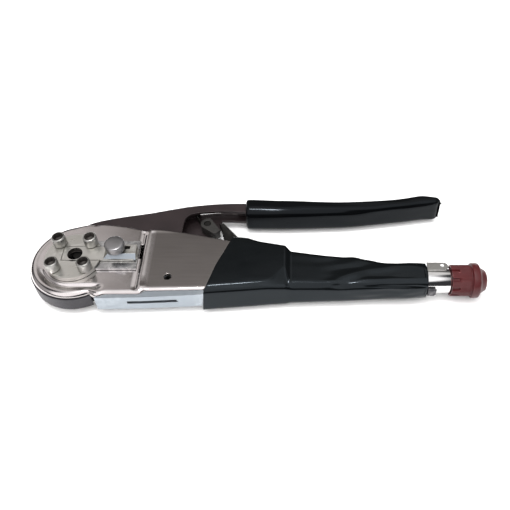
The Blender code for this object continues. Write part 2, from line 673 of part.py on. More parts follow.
def build():
    chrome = make_material("chrome", (0.62, 0.58, 0.57), 0.14, 1.0)
    nickel = make_material("nickel", (0.66, 0.65, 0.61), 0.3, 1.0)
    zinc = make_material("zinc", (0.52, 0.57, 0.62), 0.4, 0.9)
    steel = make_material("bright_steel", (0.5, 0.5, 0.5), 0.3, 1.0)
    screw = make_material("screw_steel", (0.3, 0.3, 0.29), 0.35, 1.0)
    black = make_material("blackened_steel", (0.05, 0.048, 0.05), 0.4, 0.6)
    brown = make_material("painted_steel", (0.045, 0.034, 0.036), 0.45, 0.0)
    vinyl = make_material("black_vinyl", (0.012, 0.014, 0.017), 0.22, 0.0)
    red = make_material("red_plastic", (0.25, 0.035, 0.04), 0.45, 0.0)

    frame = make_pivot("tool_frame", 0, 0, 0)
    lever = make_pivot("handle_pivot", 0, 0, -6.6)

    make_front_cover(frame, chrome)
    make_rear_cover(frame, chrome)
    make_housing(frame, steel)
    make_indenters(steel)
    make_cam_ring(lever, black)
    make_locator(frame, nickel, zinc)
    make_screws(frame, screw)
    make_cover_dowel(frame, black)
    make_locator_slide(nickel, zinc)

    make_channel(frame, zinc)
    make_ratchet_plate(frame, black)
    make_lower_grip(frame, vinyl)
    make_tail(frame, chrome, nickel, black)
    make_opening_spring(frame, steel)

    make_lever(lever, brown)
    make_pawl(lever, steel)
    make_upper_grip(lever, vinyl)
    make_adjuster(red, steel, chrome)


clear_scene()
PARTS = new_collection("crimping_tool")
CUTTERS = new_collection("cutters")
build()
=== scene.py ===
"""Looks of the four-indent crimping tool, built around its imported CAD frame.

Pieces are modelled in the tool's own frame, in millimetres, and moved to the part's
frame when their mesh is made: the crimp axis is the origin, +X runs along the tool
to the handle ends, +Y points to the moving handle and z = 0 is the cover's face.
"""

import math

import bmesh
import bpy
import numpy as np
from mathutils import Matrix, Vector, noise
from mathutils.geometry import delaunay_2d_cdt


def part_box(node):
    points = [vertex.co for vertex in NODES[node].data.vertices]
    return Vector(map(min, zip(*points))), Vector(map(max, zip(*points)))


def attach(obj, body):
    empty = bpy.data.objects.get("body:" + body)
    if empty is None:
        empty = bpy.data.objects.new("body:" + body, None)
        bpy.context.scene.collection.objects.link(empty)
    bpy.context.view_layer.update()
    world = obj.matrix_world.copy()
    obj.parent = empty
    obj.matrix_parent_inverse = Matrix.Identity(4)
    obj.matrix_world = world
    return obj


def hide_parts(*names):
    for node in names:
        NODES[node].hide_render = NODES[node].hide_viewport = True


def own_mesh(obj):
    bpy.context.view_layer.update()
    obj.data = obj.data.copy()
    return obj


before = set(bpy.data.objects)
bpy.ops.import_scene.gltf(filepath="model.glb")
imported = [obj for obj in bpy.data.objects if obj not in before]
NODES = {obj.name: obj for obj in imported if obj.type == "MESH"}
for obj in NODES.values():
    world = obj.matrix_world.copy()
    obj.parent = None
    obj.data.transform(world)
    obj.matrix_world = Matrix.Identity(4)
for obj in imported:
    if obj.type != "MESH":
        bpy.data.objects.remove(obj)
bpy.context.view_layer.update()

MM = 0.001


def tool_origin():
    """The crimp axis at the height of the cover's face, in the part's frame."""
    low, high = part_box("indenter_housing")
    return Vector(((low.x + high.x) / 2, (low.y + high.y) / 2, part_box("front_cover")[1].z))


ORIGIN = tool_origin()
TOOL = Matrix.Translation(ORIGIN) @ Matrix.Scale(MM, 4)


def node_span(node, axis):
    """A node's extent along one axis, in the tool's millimetres."""
    low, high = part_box(node)
    return (low[axis] - ORIGIN[axis]) / MM, (high[axis] - ORIGIN[axis]) / MM


def node_centre(node):
    return [sum(node_span(node, axis)) / 2 for axis in range(3)]


# Sizes that the CAD fixes
HEAD_X = 0.7
HEAD_Y = 0.5
HEAD_R = HEAD_X - node_span("front_cover", 0)[0]
MID_TOP = node_span("frame_channel", 2)[1]
MID_BOTTOM = node_span("frame_channel", 2)[0]
SHEET = 1.8                  # sheet of the channel and the lever
TAIL_Y = node_centre("tail_tube")[1]
TAIL_Z = node_centre("tail_tube")[2]
TUBE_R = (node_span("tail_tube", 2)[1] - node_span("tail_tube", 2)[0]) / 2
GRIP_FRONT = node_span("lower_grip", 2)[1]
GRIP_BACK = node_span("lower_grip", 2)[0]

# Round holes in the cover: centre and radius
CONTACT_HOLE = (0.6, 1.0, 5.0)
DOWEL_HOLE = (54.8, -12.3, 1.95)

COVER_SHEET = 0.85           # thickness of the pressed front cover
COVER_MESH = 0.62            # spacing of the points inside the cover's outline
SMOOTH_ANGLE = 40.0          # edges sharper than this stay crisp
BEVEL_ANGLE = 35.0           # edges sharper than this are rounded


# ---------------------------------------------------------------- materials

def link(tree, source, target):
    tree.links.new(source, target)


def ramp(tree, source, stops):
    node = tree.nodes.new("ShaderNodeValToRGB")
    elements = node.color_ramp.elements
    while len(elements) < len(stops):
        elements.new(0.5)
    for element, (position, colour) in zip(elements, stops):
        element.position = position
        element.color = (*colour, 1.0)
    link(tree, source, node.inputs["Fac"])
    return node.outputs["Color"]


def product(tree, first, second):
    node = tree.nodes.new("ShaderNodeMath")
    node.operation = "MULTIPLY"
    link(tree, first, node.inputs[0])
    link(tree, second, node.inputs[1])
    return node.outputs[0]


def object_coords(tree):
    return tree.nodes.new("ShaderNodeTexCoord").outputs["Object"]


def new_material(name):
    """A material, its node tree and its shader."""
    material = bpy.data.materials.new(name)
    material.use_nodes = True
    return material, material.node_tree, material.node_tree.nodes["Principled BSDF"]


def span(tree, source, low, high, out_low, out_high, shape="LINEAR"):
    """Map a value from one range to another, clamped."""
    node = tree.nodes.new("ShaderNodeMapRange")
    node.interpolation_type = shape
    for socket, value in zip(("From Min", "From Max", "To Min", "To Max"),
                             (low, high, out_low, out_high)):
        node.inputs[socket].default_value = value
    link(tree, source, node.inputs["Value"])
    return node.outputs["Result"]


def noise_value(tree, coords, scale, stretch=(1, 1, 1), detail=4.0):
    mapping = tree.nodes.new("ShaderNodeMapping")
    mapping.inputs["Scale"].default_value = stretch
    link(tree, coords, mapping.inputs["Vector"])
    node = tree.nodes.new("ShaderNodeTexNoise")
    node.inputs["Scale"].default_value = scale
    node.inputs["Detail"].default_value = detail
    link(tree, mapping.outputs["Vector"], node.inputs["Vector"])
    return node.outputs["Fac"]


def mix(tree, factor, first, second):
    node = tree.nodes.new("ShaderNodeMix")
    node.data_type = "RGBA"
    link(tree, factor, node.inputs["Factor"])
    for socket, value in ((node.inputs["A"], first), (node.inputs["B"], second)):
        if isinstance(value, tuple):
            socket.default_value = (*value, 1.0)
        else:
            link(tree, value, socket)
    return node.outputs["Result"]


def surface(name, dark, light, metallic, rough, grain, bump, worn=None, stretch=(1, 1, 1),
            mottle=60.0, tint=(1.0, 1.0, 1.0), level=0.5):
    """A finish with slow colour variation, fine grain, uneven gloss and bright worn edges."""
    material, tree, shader = new_material(name)
    coords = object_coords(tree)
    slow = noise_value(tree, coords, mottle, detail=3.0)
    fine = noise_value(tree, coords, grain, stretch, 6.0)
    colour = ramp(tree, slow, [(0.32, dark), (0.68, light)])
    if worn is not None:
        geometry = tree.nodes.new("ShaderNodeNewGeometry")
        edge = span(tree, geometry.outputs["Pointiness"], 0.53, 0.62, 0.0, 1.0)
        patch = span(tree, noise_value(tree, coords, 400.0), 0.42, 0.6, 0.1, 1.0)
        colour = mix(tree, product(tree, edge, patch), colour, worn)
    link(tree, colour, shader.inputs["Base Color"])
    shader.inputs["Metallic"].default_value = metallic
    link(tree, span(tree, fine, 0.3, 0.7, rough[0], rough[1]), shader.inputs["Roughness"])
    shader.inputs["Specular Tint"].default_value = (*tint, 1.0)
    shader.inputs["Specular IOR Level"].default_value = level
    bumps = tree.nodes.new("ShaderNodeBump")
    bumps.inputs["Strength"].default_value = bump
    bumps.inputs["Distance"].default_value = 0.0001
    link(tree, fine, bumps.inputs["Height"])
    link(tree, bumps.outputs["Normal"], shader.inputs["Normal"])
    return material


def chrome_cover_material():
    """Chrome plate, bright on the head, satin on the rear panel darkened by a painted dark
    reflection, and painted shade at the rim's lip.
    """
    material = surface("cover_chrome", (0.60, 0.565, 0.56), (0.70, 0.665, 0.66), 1.0,
                       (0.10, 0.17), 900.0, 0.05, mottle=45.0)
    tree = material.node_tree
    shader = tree.nodes["Principled BSDF"]
    coords = object_coords(tree)
    axes = tree.nodes.new("ShaderNodeSeparateXYZ")
    link(tree, coords, axes.inputs["Vector"])
    # rear panel: a satin finish, with its colour darkened as a painted dark reflection
    panel = span(tree, axes.outputs["X"], ORIGIN.x + 0.0415, ORIGIN.x + 0.0445, 0.0, 1.0)
    inner = span(tree, axes.outputs["Y"], ORIGIN.y - 0.0202, ORIGIN.y - 0.0188, 0.0, 1.0)
    satin_and_painted_reflection_area = product(tree, panel, inner)
    brushed = noise_value(tree, coords, 700.0, (0.08, 1.0, 1.0), 5.0)
    satin_and_painted_dark_reflection = ramp(tree, brushed, [(0.3, (0.222, 0.204, 0.194)), (0.7, (0.240, 0.221, 0.211))])
    old = shader.inputs["Base Color"].links[0].from_socket
    plate = mix(tree, satin_and_painted_reflection_area, old, satin_and_painted_dark_reflection)
    # painted shade on the lowest part of the rim, below the face, where the sheet turns under
    painted_lip_shade = span(tree, axes.outputs["Z"], ORIGIN.z - 0.0028, ORIGIN.z - 0.0014, 1.0, 0.0)
    shade = ramp(tree, brushed, [(0.3, (0.10, 0.09, 0.092)), (0.7, (0.13, 0.12, 0.122))])
    link(tree, mix(tree, painted_lip_shade, plate, shade), shader.inputs["Base Color"])
    gloss = tree.nodes.new("ShaderNodeMix")
    link(tree, satin_and_painted_reflection_area, gloss.inputs["Factor"])
    link(tree, shader.inputs["Roughness"].links[0].from_socket, gloss.inputs["A"])
    gloss.inputs["B"].default_value = 0.34
    link(tree, gloss.outputs["Result"], shader.inputs["Roughness"])
    return material


MATERIALS = {
    "cover": chrome_cover_material(),
    "chrome": surface("polished_chrome", (0.66, 0.655, 0.65), (0.78, 0.775, 0.77), 1.0,
                      (0.06, 0.12), 800.0, 0.03),
    "nickel": surface("satin_nickel", (0.63, 0.62, 0.575), (0.72, 0.71, 0.67), 1.0,
                      (0.26, 0.38), 700.0, 0.12, (0.85, 0.84, 0.8), (0.12, 1, 1)),
    "zinc": surface("zinc_plate", (0.30, 0.335, 0.37), (0.345, 0.38, 0.415), 0.9,
                    (0.34, 0.46), 650.0, 0.05, (0.7, 0.74, 0.78), (0.1, 1, 1)),
    "steel": surface("ground_steel", (0.24, 0.235, 0.23), (0.38, 0.375, 0.365), 1.0,
                     (0.28, 0.42), 900.0, 0.2, (0.75, 0.74, 0.72), (1, 0.15, 1)),
    "screw": surface("cap_screw_steel", (0.33, 0.325, 0.31), (0.46, 0.455, 0.435), 1.0,
                     (0.3, 0.44), 1100.0, 0.2, (0.72, 0.71, 0.67)),
    "socket": surface("socket_shade", (0.035, 0.031, 0.029), (0.06, 0.054, 0.05), 0.6,
                      (0.45, 0.6), 900.0, 0.2),
    "black": surface("black_oxide", (0.022, 0.021, 0.025), (0.038, 0.036, 0.042), 0.4,
                     (0.36, 0.52), 1200.0, 0.25, (0.13, 0.125, 0.13)),
    # near black: blackened parts, and painted shade on the indenters and housing seen down the
    # contact hole
    "dark": surface("dark_steel_and_painted_hole_shade", (0.0060, 0.0056, 0.0052), (0.010, 0.0096, 0.0090), 0.1,
                    (0.38, 0.52), 1200.0, 0.2, (0.013, 0.0125, 0.012), level=0.1),
    "pawl": surface("worn_pawl_steel", (0.026, 0.025, 0.024), (0.052, 0.050, 0.047), 0.6,
                    (0.36, 0.5), 900.0, 0.25, (0.10, 0.098, 0.094)),
    "brown": surface("brown_enamel", (0.0105, 0.0072, 0.0076), (0.0165, 0.0112, 0.0118), 0.0,
                     (0.36, 0.48), 1400.0, 0.15, (0.05, 0.042, 0.042), level=0.36),
    "vinyl": surface("black_vinyl_skin", (0.0016, 0.0021, 0.0024), (0.0026, 0.0031, 0.0034),
                     0.0, (0.10, 0.17), 260.0, 0.09, stretch=(0.3, 1, 1),
                     tint=(0.78, 0.9, 1.0), level=0.28),
    "upper_vinyl": surface("upper_vinyl_skin", (0.0014, 0.0017, 0.0020),
                           (0.0023, 0.0026, 0.0029), 0.0, (0.08, 0.14), 260.0, 0.08,
                           stretch=(0.3, 1, 1), tint=(0.8, 0.9, 1.0), level=0.14),
    "button": surface("turned_button", (0.30, 0.295, 0.30), (0.37, 0.365, 0.37), 1.0,
                      (0.28, 0.38), 800.0, 0.08, (0.7, 0.72, 0.74)),
    "red": surface("red_moulding", (0.040, 0.0050, 0.0058), (0.062, 0.0082, 0.0092), 0.0,
                   (0.34, 0.5), 900.0, 0.3, (0.22, 0.06, 0.065), level=0.34),
    "base": surface("locator_base_plate", (0.40, 0.40, 0.405), (0.46, 0.46, 0.465), 1.0,
                    (0.2, 0.3), 700.0, 0.03, (0.7, 0.7, 0.7), (0.12, 1, 1)),
}


# ---------------------------------------------------------------- mesh helpers

def add_object(name, data):
    made = bpy.data.objects.new(name, data)
    bpy.context.scene.collection.objects.link(made)
    return made


def mesh_object(name, bm):
    mesh = bpy.data.meshes.new(name)
    bm.to_mesh(mesh)
    bm.free()
    return add_object(name, mesh)


def to_part_frame(bm):
    """Move a mesh from tool millimetres to the part's frame, with its faces outwards."""
    bmesh.ops.transform(bm, matrix=TOOL, verts=bm.verts)
    bmesh.ops.recalc_face_normals(bm, faces=bm.faces)


def shade(piece, smooth):
    piece.data.shade_smooth()
    piece.data.set_sharp_from_angle(angle=math.radians(smooth))


def round_edges(piece, width, segments):
    rounding = piece.modifiers.new("rounding", "BEVEL")
    rounding.width = width
    rounding.segments = segments
    rounding.limit_method = "ANGLE"
    rounding.angle_limit = math.radians(BEVEL_ANGLE)
    rounding.harden_normals = True


def show(name, bm, body, slot, material, node, **finish):
    """Make a piece from a mesh in tool millimetres, hang it on its body and hide the CAD node it
    stands for.
    """
    to_part_frame(bm)
    return show_world(name, bm, body, slot, material, node, **finish)


def show_world(name, bm, body, slot, material, node, bevel=0.0, segments=3,
               smooth=SMOOTH_ANGLE):
    """The same for a mesh that is in the part's frame already."""
    piece = mesh_object(name, bm)
    shade(piece, smooth)
    piece.data.materials.append(MATERIALS[material])
    if bevel:
        round_edges(piece, bevel * MM, segments)
    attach(piece, body)
    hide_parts(node)
    return piece


def refine(node, body, slot, material, bevel):
    """A CAD solid with its edges broken, shown in place of the plain one."""
    bm = bmesh.new()
    bm.from_mesh(NODES[node].data)
    bmesh.ops.remove_doubles(bm, verts=bm.verts, dist=3e-6)
    bmesh.ops.dissolve_limit(bm, angle_limit=math.radians(0.6), verts=bm.verts, edges=bm.edges)
    return show_world(node + "_finished", bm, body, slot, material, node, bevel=bevel)


def bridge(bm, lower, upper):
    """Quads between two closed rows of vertices of the same length."""
    count = len(lower)
    for i in range(count):
        k = (i + 1) % count
        bm.faces.new((lower[i], lower[k], upper[k], upper[i]))


def arc(cx, cy, r, start, end, count):
    points = []
    for i in range(count + 1):
        a = math.radians(start + (end - start) * i / count)
        points.append((cx + r * math.cos(a), cy + r * math.sin(a)))
    return points


def slab(bm, points, z_low, z_high):
    """A flat outline between two heights."""
    low = [bm.verts.new((x, y, z_low)) for x, y in points]
    high = [bm.verts.new((x, y, z_high)) for x, y in points]
    bridge(bm, low, high)
    bm.faces.new(list(reversed(low)))
    bm.faces.new(high)


def turned(bm, stations, centre, axis, segments=64, shape=None):
    """Rings about an axis; shape(along, angle, radius) may change a ring's radius."""
    turn = Vector((0, 0, 1)).rotation_difference(Vector(axis)).to_matrix()
    rings = []
    for along, radius in stations:
        ring = []
        for i in range(segments):
            a = 2 * math.pi * i / segments
            r = shape(along, a, radius) if shape else radius
            point = turn @ Vector((r * math.cos(a), r * math.sin(a), along))
            ring.append(bm.verts.new(point + Vector(centre)))
        rings.append(ring)
    for lower, upper in zip(rings, rings[1:]):
        bridge(bm, lower, upper)
    bm.faces.new(list(reversed(rings[0])))
    bm.faces.new(rings[-1])


def boolean(piece, name, points, z_low, z_high, operation="DIFFERENCE"):
    """Cut a flat outline between two heights out of a piece, or add it, and apply it."""
    bm = bmesh.new()
    slab(bm, points, z_low, z_high)
    to_part_frame(bm)
    cutter = mesh_object(name, bm)
    bevels = [(bevel.width, bevel.segments) for bevel in piece.modifiers]
    piece.modifiers.clear()
    modifier = piece.modifiers.new(name, "BOOLEAN")
    modifier.operation = operation
    modifier.object = cutter
    modifier.solver = "EXACT"
    graph = bpy.context.evaluated_depsgraph_get()
    result = bpy.data.meshes.new_from_object(piece.evaluated_get(graph))
    piece.modifiers.clear()
    bpy.data.objects.remove(cutter, do_unlink=True)
    bm = bmesh.new()
    bm.from_mesh(result)
    bmesh.ops.remove_doubles(bm, verts=bm.verts, dist=2e-6)
    bmesh.ops.dissolve_limit(bm, angle_limit=math.radians(0.3), verts=bm.verts, edges=bm.edges)
    bm.to_mesh(piece.data)
    bm.free()
    bpy.data.meshes.remove(result)
    shade(piece, SMOOTH_ANGLE)
    for width, segments in bevels:
        round_edges(piece, width, segments)


def smooth_step(value, low, high):
    """0 up to low, 1 from high on, with a smooth rise between."""
    share = np.clip((value - low) / (high - low), 0.0, 1.0)
    return share * share * (3 - 2 * share)


def hill(value, half_width):
    """One at zero, falling to zero at half_width on either side."""
    return 0.5 + 0.5 * np.cos(np.pi * np.clip(value / half_width, -1.0, 1.0))


# ---------------------------------------------------------------- front cover

def cover_edge():
    """The cover's outline, each point with the drop and the width of its rounded edge."""
    edge = []
    for x, y in arc(HEAD_X, HEAD_Y, HEAD_R, 74, 296, 74):
        angle = math.degrees(math.atan2(y - HEAD_Y, x - HEAD_X)) % 360
        share = float(smooth_step(angle, 78.0, 104.0))
        edge.append((x, y, 0.4 + 2.6 * share, 1.0 + 2.6 * share))
    edge += [(13.6, -24.0, 3.0, 3.2), (15.2, -24.9, 2.9, 2.8), (17.2, -25.3, 2.6, 2.6),
             (19.0, -24.9, 2.2, 2.4), (20.6, -24.2, 1.8, 2.4), (22.2, -23.8, 1.5, 2.4)]
    edge += [(x, -23.7, 1.4, 2.4) for x in (26.0, 31.0, 36.0, 39.4)]
    edge += [(41.0, -23.5, 1.4, 2.2), (42.2, -22.4, 1.4, 2.0), (43.4, -21.7, 1.4, 2.2)]
    edge += [(x, -21.6 + 0.029 * (x - 45.0), 1.3, 2.4) for x in (46.0, 54.0, 62.0, 70.0, 75.0)]
    edge += [(76.3, -20.0, 0.8, 1.0), (76.9, -18.0, 0.4, 0.5), (78.2, -13.0, 0.3, 0.4),
             (80.6, -5.0, 0.3, 0.4), (83.9, 3.0, 0.3, 0.4), (88.0, 13.3, 0.3, 0.4),
             (74.0, 16.8, 0.3, 0.6), (60.0, 20.0, 0.3, 0.6), (46.0, 22.0, 0.3, 0.6),
             (41.0, 22.3, 0.4, 0.8), (39.4, 21.6, 0.5, 0.8), (38.2, 21.2, 0.4, 0.8),
             (31.0, 23.1, 0.3, 0.6), (25.0, 24.5, 0.3, 0.6), (18.0, 25.6, 0.3, 0.6),
             (11.8, 26.3, 0.3, 0.6)]
    return np.array(edge)


def resample(edge, step):
    """The closed outline at an even spacing."""
    points = []
    for start, end in zip(edge, np.roll(edge, -1, axis=0)):
        length = np.hypot(*(end - start)[:2])
        count = max(1, int(round(length / step)))
        for i in range(count):
            points.append(start + (end - start) * i / count)
    return np.array(points)


def edge_distance(edge, x, y):
    """Distance to the outline, and the drop and width of the nearest edge point."""
    distance = np.full(x.shape, 1e9)
    drop = np.zeros(x.shape)
    width = np.ones(x.shape)
    for start, end in zip(edge, np.roll(edge, -1, axis=0)):
        along = end[:2] - start[:2]
        share = ((x - start[0]) * along[0] + (y - start[1]) * along[1]) / (along @ along)
        share = np.clip(share, 0.0, 1.0)
        d = np.hypot(x - start[0] - share * along[0], y - start[1] - share * along[1])
        nearer = d < distance
        distance = np.where(nearer, d, distance)
        drop = np.where(nearer, start[2] + share * (end[2] - start[2]), drop)
        width = np.where(nearer, start[3] + share * (end[3] - start[3]), width)
    return distance, drop, width


def cover_height(edge, x, y):
    """Height of the pressed sheet: rolled rim, groove round the head, cross bead, panel."""
    distance, drop, width = edge_distance(edge, x, y)
    share = np.clip(1.0 - distance / width, 0.0, 1.0)
    height = -drop * (1.0 - np.sqrt(1.0 - share ** 2))
    radius = np.hypot(x - HEAD_X, y - HEAD_Y)
    angle = np.degrees(np.arctan2(y - HEAD_Y, x - HEAD_X)) % 360
    outward = np.where(x < HEAD_X, radius - 20.7, -y - 20.2)
    deep = smooth_step(angle, 190.0, 226.0) * (1 - smooth_step(x, 13.6, 20.4))
    deep = np.where(angle > 150, deep, 0.0)
    shallow = 0.08 * smooth_step(angle, 110.0, 150.0) * (1 - smooth_step(angle, 190.0, 215.0))
    groove = smooth_step(outward, -3.0, -1.5) * (1 - smooth_step(outward, -1.9, 2.0))
    height = height - 1.05 * deep * groove - shallow * hill(outward, 2.4)
    # cross bead: down into a valley, up to a ridge, then down to the rear panel
    fade = smooth_step(y, -22.6, -19.0) * (1 - smooth_step(y, 19.5, 22.0))
    valley = -0.6 * smooth_step(x, 35.0, 38.0) + 0.78 * smooth_step(x, 37.9, 39.5)
    reach = 42.6 + 2.2 * (1 - smooth_step(y, -19.0, -11.0))
    rear = np.clip((x - 39.5) / (reach - 39.5), 0.0, 1.0)
    ridge_end = -0.43 * rear * rear * (3 - 2 * rear)
    height = height + fade * (valley + ridge_end)
    flare = np.exp(-((x - 41.4) ** 2 + (y + 19.4) ** 2) / 5.0)
    height = height + 0.4 * flare
    wave = np.array([noise.noise(Vector((a * 0.07, b * 0.07, 3.1))) for a, b in zip(x, y)])
    return height + 0.05 * wave * smooth_step(distance, 0.5, 5.0)


# The cover's slot behind the slide, cut through the valley of the bead
SLOT_LOW = (36.95, 0.8)
SLOT_HIGH = (38.35, 10.8)


def in_slot(x, y, margin=0.0):
    return (SLOT_LOW[0] - margin < x < SLOT_HIGH[0] + margin
            and SLOT_LOW[1] - margin < y < SLOT_HIGH[1] + margin)


def in_hole(hole, x, y, margin=0.0):
    return math.hypot(x - hole[0], y - hole[1]) < hole[2] + margin


def ring_points(cx, cy, r, count):
    return arc(cx, cy, r, 0, 360 - 360 / count, count - 1)


def make_front_cover():
    edge = cover_edge()
    outline = resample(edge, 0.6)
    x0, y0 = SLOT_LOW
    x1, y1 = SLOT_HIGH
    slot = [(x0, y0 + 0.5), (x0 + 0.5, y0), (x1 - 0.5, y0), (x1, y0 + 0.5),
            (x1, y1 - 0.5), (x1 - 0.5, y1), (x0 + 0.5, y1), (x0, y1 - 0.5)]
    holes = [ring_points(*CONTACT_HOLE, 48), ring_points(*DOWEL_HOLE, 32), slot]
    points = [(x, y) for x, y in outline[:, :2]]
    inward = np.roll(outline[:, :2], -1, axis=0) - np.roll(outline[:, :2], 1, axis=0)
    inward = np.stack([-inward[:, 1], inward[:, 0]], 1)
    inward /= np.hypot(inward[:, 0], inward[:, 1])[:, None]
    loops = [list(range(len(points)))]
    for hole in holes:
        loops.append(list(range(len(points), len(points) + len(hole))))
        points += hole
    extra = []
    for inset in (0.07, 0.2, 0.4, 0.7, 1.05, 1.5, 2.0, 2.6, 3.2):
        ring = outline[:, :2] + inward * inset
        d = edge_distance(edge, ring[:, 0], ring[:, 1])[0]
        extra += [tuple(p) for p, far in zip(ring, d) if far > inset * 0.93]
    grid_x, grid_y = np.meshgrid(np.arange(-26.0, 89.0, COVER_MESH),
                                 np.arange(-27.0, 27.0, COVER_MESH))
    grid = np.stack([grid_x.ravel(), grid_y.ravel()], 1)
    d = edge_distance(edge, grid[:, 0], grid[:, 1])[0]
    extra += [tuple(p) for p, far in zip(grid, d) if far > 3.6]
    for hole in (CONTACT_HOLE, DOWEL_HOLE):
        extra = [p for p in extra if not in_hole(hole, p[0], p[1], 0.3)]
    extra = [p for p in extra if not in_slot(p[0], p[1], 0.15)]
    points += extra
    edges = []
    for loop in loops:
        edges += list(zip(loop, loop[1:] + loop[:1]))
    verts, _, faces, *_ = delaunay_2d_cdt([Vector(p) for p in points], edges, [loops[0]], 1, 1e-4)
    verts = np.array(verts)
    z = cover_height(edge, verts[:, 0], verts[:, 1])
    bm = bmesh.new()
    made = [bm.verts.new((x, y, h)) for (x, y), h in zip(verts, z)]
    for face in faces:
        cx, cy = np.mean([verts[i] for i in face], axis=0)
        in_round = in_hole(CONTACT_HOLE, cx, cy) or in_hole(DOWEL_HOLE, cx, cy)
        if not (in_round or in_slot(cx, cy)):
            bm.faces.new([made[i] for i in face])
    loose = [v for v in bm.verts if not v.link_faces]
    bmesh.ops.delete(bm, geom=loose, context="VERTS")
    bmesh.ops.transform(bm, matrix=TOOL, verts=bm.verts)
    if sum(f.normal.z for f in bm.faces) < 0:
        bmesh.ops.reverse_faces(bm, faces=bm.faces)
    cover = show_world("pressed_front_cover", bm, "frame", "chrome", "cover", "front_cover",
                       smooth=70.0)
    sheet = cover.modifiers.new("sheet", "SOLIDIFY")
    sheet.thickness = COVER_SHEET * MM
    sheet.offset = -1.0
    # painted shade on all the sheet's cut edges
    cover.data.materials.append(MATERIALS["socket"])
    sheet.material_offset_rim = 1
    # painted shade on the cover within 1.6 mm of the contact hole and on its edge inside it,
    # where no light reaches
    for polygon in cover.data.polygons:
        at = (polygon.center - ORIGIN) / MM
        if in_hole(CONTACT_HOLE, at.x, at.y, 1.6):
            polygon.material_index = 1
    return cover


# ---------------------------------------------------------------- head

def make_screw(name, node, x, y):
    """Socket-head cap screw: rounded head edge, hexagon socket with a chamfered mouth."""
    low, top = node_span(node, 2)
    seat = top - 6.0
    hexagon = 2.45

    def to_hexagon(along, angle, radius):
        if radius > 0:
            return radius
        off = (math.degrees(angle) + 30.0) % 60.0 - 30.0
        return -radius / math.cos(math.radians(off))

    stations = [(low, 1.7), (low + 0.3, 2.0), (seat, 2.0), (seat, 3.6), (seat + 0.25, 3.9)]
    stations += [(top - 0.9, 3.9)]
    stations += [(top - 0.9 + 0.9 * math.sin(a), 3.0 + 0.9 * math.cos(a))
                 for a in (0.35, 0.7, 1.05, 1.35, 1.57)]
    stations += [(top, 3.0), (top - 0.15, 2.88), (top - 0.7, -hexagon), (top - 3.2, -hexagon),
                 (top - 3.9, 0.4)]
    bm = bmesh.new()
    turned(bm, stations, (x, y, 0), (0, 0, 1), 60, to_hexagon)
    # painted shade in the hexagon socket and on its mouth
    for face in bm.faces:
        centre = face.calc_center_median()
        if centre.z > seat and math.hypot(centre.x - x, centre.y - y) < 2.95:
            face.material_index = 1
    screw = show(name, bm, "frame", "screw_steel", "screw", node)
    screw.data.materials.append(MATERIALS["socket"])


def make_button():
    """Thumb button: a low dome with a fine ring turned in its top."""
    x, y, _ = node_centre("locator_button")
    low, top = node_span("locator_button", 2)
    under = top - 4.8
    stations = [(low, 2.9), (under, 2.9), (under, 5.2), (under + 0.3, 5.55),
                (top - 1.2, 5.6), (top - 0.8, 5.5), (top - 0.5, 5.25), (top - 0.3, 4.9),
                (top - 0.2, 4.4), (top - 0.12, 3.0), (top - 0.06, 1.6), (top - 0.03, 0.5)]
    bm = bmesh.new()
    turned(bm, stations, (x, y, 0), (0, 0, 1), 72)
    show("thumb_button_cap", bm, "thumb_button", "zinc", "button", "locator_button")


def darken_bore(piece, x, y, radius):
    """Shade the walls of a hole, as in the photo, where no light reaches them."""
    piece.data.materials.append(MATERIALS["socket"])
    for polygon in piece.data.polygons:
        at = (polygon.center - ORIGIN) / MM
        if abs(polygon.normal.z) < 0.5 and math.hypot(at.x - x, at.y - y) < radius:
            polygon.material_index = 1


def make_dowel():
    """Hollow dowel below the cover's round hole."""
    x, y, _ = node_centre("cover_dowel")
    low, top = node_span("cover_dowel", 2)
    stations = [(low, 1.3), (low + 0.3, 1.6), (top - 0.2, 1.6), (top, 1.45), (top - 0.1, 1.2),
                (top - 6.0, 1.2), (top - 6.4, 0.2)]
    bm = bmesh.new()
    turned(bm, stations, (x, y, 0), (0, 0, 1), 40)
    show("hollow_cover_dowel", bm, "frame", "blackened_steel", "dark", "cover_dowel")


def make_head():
    make_front_cover()
    refine("rear_cover", "frame", "chrome", "chrome", 0.4)
    # housing and indenters near black, as painted shade down the contact hole
    refine("indenter_housing", "frame", "bright_steel", "dark", 0.25)
    for index in range(1, 5):
        refine("indenter_%d" % index, "indenter_slide_%d" % index, "bright_steel", "dark", 0.2)
    refine("cam_ring", "handle_lever", "blackened_steel", "black", 0.6)
    plate = refine("locator_plate", "frame", "nickel", "nickel", 0.3)
    darken_bore(plate, 0.6, 1.0, 5.2)
    refine("locator_base", "frame", "zinc", "base", 0.35)
    slide = refine("locator_slide", "locator", "nickel", "nickel", 0.2)
    darken_bore(slide, 0.8, 1.6, 4.6)
    # painted bluish reflection: the slide's sloped faces towards the front take the zinc colour
    slide.data.materials.append(MATERIALS["zinc"])
    for polygon in slide.data.polygons:
        if -0.95 < polygon.normal.y < -0.3 and polygon.normal.z > 0.3:
            polygon.material_index = 2
    make_dowel()
    make_button()
    for index in range(1, 5):
        x, y, _ = node_centre("locator_screw_%d" % index)
        make_screw("cap_screw_%d" % index, "locator_screw_%d" % index, x, y)
        refine("rear_screw_%d" % index, "frame", "screw_steel", "screw", 0.15)


# ---------------------------------------------------------------- body

